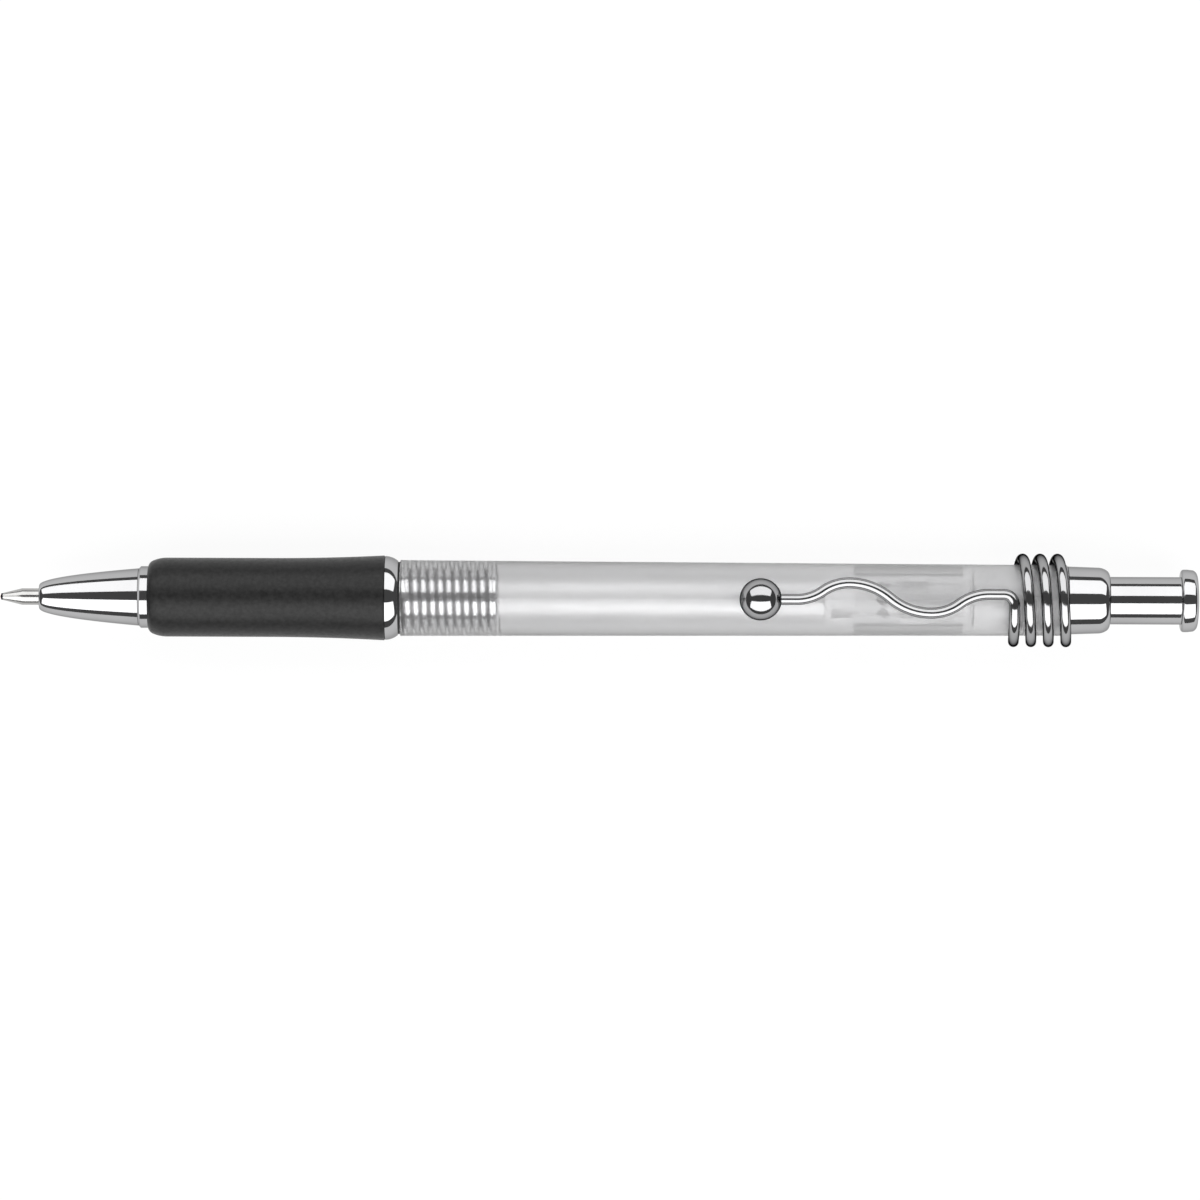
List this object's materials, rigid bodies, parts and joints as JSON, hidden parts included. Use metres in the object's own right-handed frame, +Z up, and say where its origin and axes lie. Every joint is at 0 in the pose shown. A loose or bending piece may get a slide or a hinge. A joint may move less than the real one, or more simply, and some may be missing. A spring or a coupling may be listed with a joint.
{
  "type": "retractable ballpoint pen",
  "caption": "Retractable ballpoint pen with chromed nose, rubber grip, frosted barrel, screw-off front section, click mechanism and a coiled wire clip ending in a ball.",
  "frame": {"origin": "on the table, under the middle of the pen as it lies with the clip on top", "axes": "+X along the pen from the writing point to the push button, +Y across it, +Z up towards the clip"},
  "size_m": [0.1427, 0.0112, 0.015],
  "materials": {
    "carbide_ball": "polished dark carbide",
    "tip_metal": "turned nickel silver",
    "refill_metal": "drawn metal tube",
    "ink": "dark ink paste",
    "white_plastic": "moulded white plastic",
    "spring_steel": "drawn spring wire",
    "bright_chrome": "mirror chrome plate",
    "black_rubber": "matte black rubber",
    "frosted_plastic": "frosted translucent plastic",
    "clear_plastic": "natural translucent plastic",
    "chromed_wire": "chromed spring wire"
  },
  "bodies": {
    "barrel_body": {"barrel": "frosted_plastic", "guide_bush": "clear_plastic", "top_cap": "bright_chrome", "clip_coil": "chromed_wire"},
    "button": {"push_button": "bright_chrome", "cam_plunger": "clear_plastic"},
    "refill": {"writing_ball": "carbide_ball", "refill_tip": "tip_metal", "refill_tube": "refill_metal", "ink_column": "ink", "refill_plug": "refill_metal"},
    "rotor": {"cam_rotor": "white_plastic"},
    "clip": {"clip_arm": "chromed_wire", "clip_ball": "chromed_wire"},
    "ring": {"trim_ring": "bright_chrome"},
    "front_section": {"nose_cone": "bright_chrome", "grip_core": "bright_chrome", "rubber_grip": "black_rubber", "return_spring": "spring_steel"}
  },
  "joints": [
    {"name": "button_slide", "type": "slide", "parent": "barrel_body", "child": "button", "axis": [1, 0, 0], "range_m": [-0.0015, 0.0052]},
    {"name": "refill_slide", "type": "slide", "parent": "barrel_body", "child": "refill", "axis": [1, 0, 0], "range_m": [-0.0015, 0.0052], "deforming": ["return_spring"]},
    {"name": "rotor_turn", "type": "hinge", "parent": "refill", "child": "rotor", "pos_m": [0.02662, 0, 0.00558], "axis": [1, 0, 0], "continuous": true},
    {"name": "clip_flex", "type": "hinge", "parent": "barrel_body", "child": "clip", "pos_m": [0.04656, 0.00068, 0.01133], "axis": [0, 1, 0], "range_deg": [0, 9], "stiffness_Nm_per_rad": 0.9, "springref_deg": -1.72},
    {"name": "ring_slide", "type": "slide", "parent": "barrel_body", "child": "ring", "axis": [-1, 0, 0], "range_m": [0, 0.012]},
    {"name": "section_turn", "type": "hinge", "parent": "ring", "child": "front_section", "pos_m": [-0.02357, 0, 0.00558], "axis": [-1, 0, 0], "range_deg": [0, 4321]}
  ],
  "couplings": [
    {"joint": "refill_slide", "follows": "button_slide", "ratio": 1},
    {"joint": "section_turn", "follows": "ring_slide", "rad_per_m": 6283.2}
  ]
}
